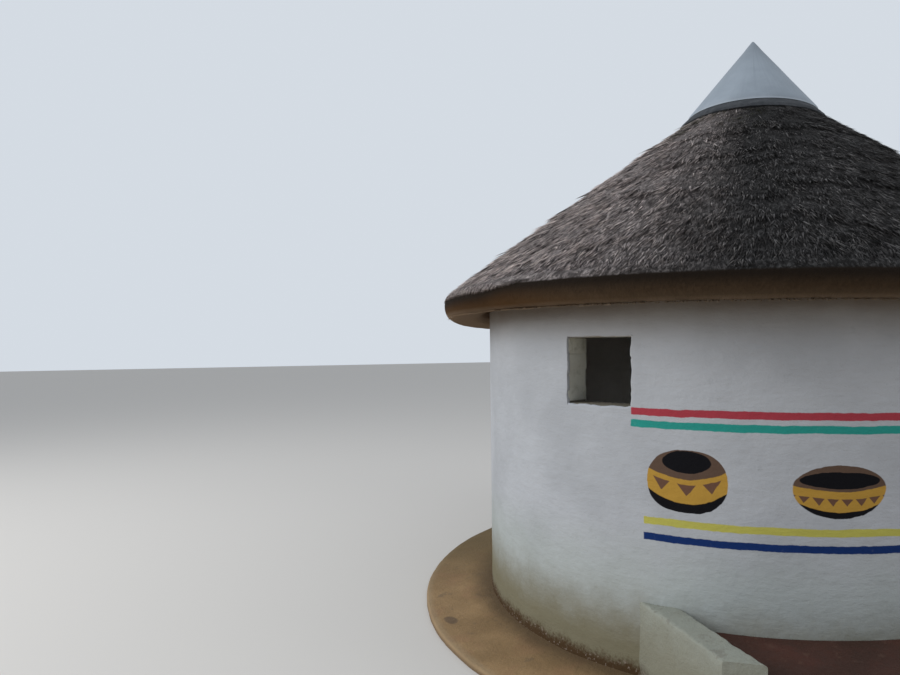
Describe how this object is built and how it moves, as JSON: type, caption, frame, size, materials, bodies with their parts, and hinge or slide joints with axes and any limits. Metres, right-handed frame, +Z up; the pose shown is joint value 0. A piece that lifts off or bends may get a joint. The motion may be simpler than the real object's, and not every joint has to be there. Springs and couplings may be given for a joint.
{
  "type": "rondavel hut",
  "caption": "Round whitewashed masonry hut with a conical thatched roof on gum poles, a cone cap, a doorway, small window openings, an apron and a raised front stoep.",
  "frame": {"origin": "on the ground at the hut's axis, in the middle of the apron's outline", "axes": "+Z up; the doorway faces -Y; the small window openings face roughly -X and +X"},
  "size_m": [5.0898, 5.09, 4.2119],
  "materials": {
    "whitewashed_plaster": "matt limewash on hand-floated plaster, dirty near the ground",
    "apron_concrete": "worn trowelled concrete, stained by soil",
    "red_floor": "polished red cement floor",
    "thatch_grass": "weathered grey thatching grass, brown at the trimmed eave",
    "gum_pole": "barked gum poles, dull",
    "collar_mortar": "dark mortar band",
    "cap_paint": "pale blue-grey painted sheet, slightly weathered"
  },
  "bodies": {
    "root": {"wall_left_of_door": "whitewashed_plaster", "wall_front_left": "whitewashed_plaster", "wall_under_left_window": "whitewashed_plaster", "wall_over_left_window": "whitewashed_plaster", "wall_left_side": "whitewashed_plaster", "wall_left_back": "whitewashed_plaster", "wall_back_left": "whitewashed_plaster", "wall_right_of_door": "whitewashed_plaster", "wall_front_right": "whitewashed_plaster", "wall_under_right_window": "whitewashed_plaster", "wall_over_right_window": "whitewashed_plaster", "wall_right_side": "whitewashed_plaster", "wall_right_back": "whitewashed_plaster", "wall_back_right": "whitewashed_plaster", "wall_over_door": "whitewashed_plaster", "door_threshold": "red_floor", "room_floor": "red_floor", "apron": "apron_concrete", "stoep_left": "red_floor", "stoep_middle": "red_floor", "stoep_right": "red_floor", "kerb_left": "whitewashed_plaster", "kerb_right": "whitewashed_plaster", "wall_plate": "gum_pole", "long_rafters": "gum_pole", "short_rafters": "gum_pole", "roof_boss": "gum_pole", "roof_laths": "gum_pole", "thatch_1": "thatch_grass", "thatch_2": "thatch_grass", "thatch_3": "thatch_grass", "thatch_4": "thatch_grass", "thatch_5": "thatch_grass", "thatch_6": "thatch_grass", "thatch_7": "thatch_grass", "thatch_8": "thatch_grass", "thatch_9": "thatch_grass", "thatch_10": "thatch_grass", "thatch_11": "thatch_grass", "thatch_12": "thatch_grass", "cap_collar": "collar_mortar", "cap_cone": "cap_paint"}
  },
  "joints": []
}
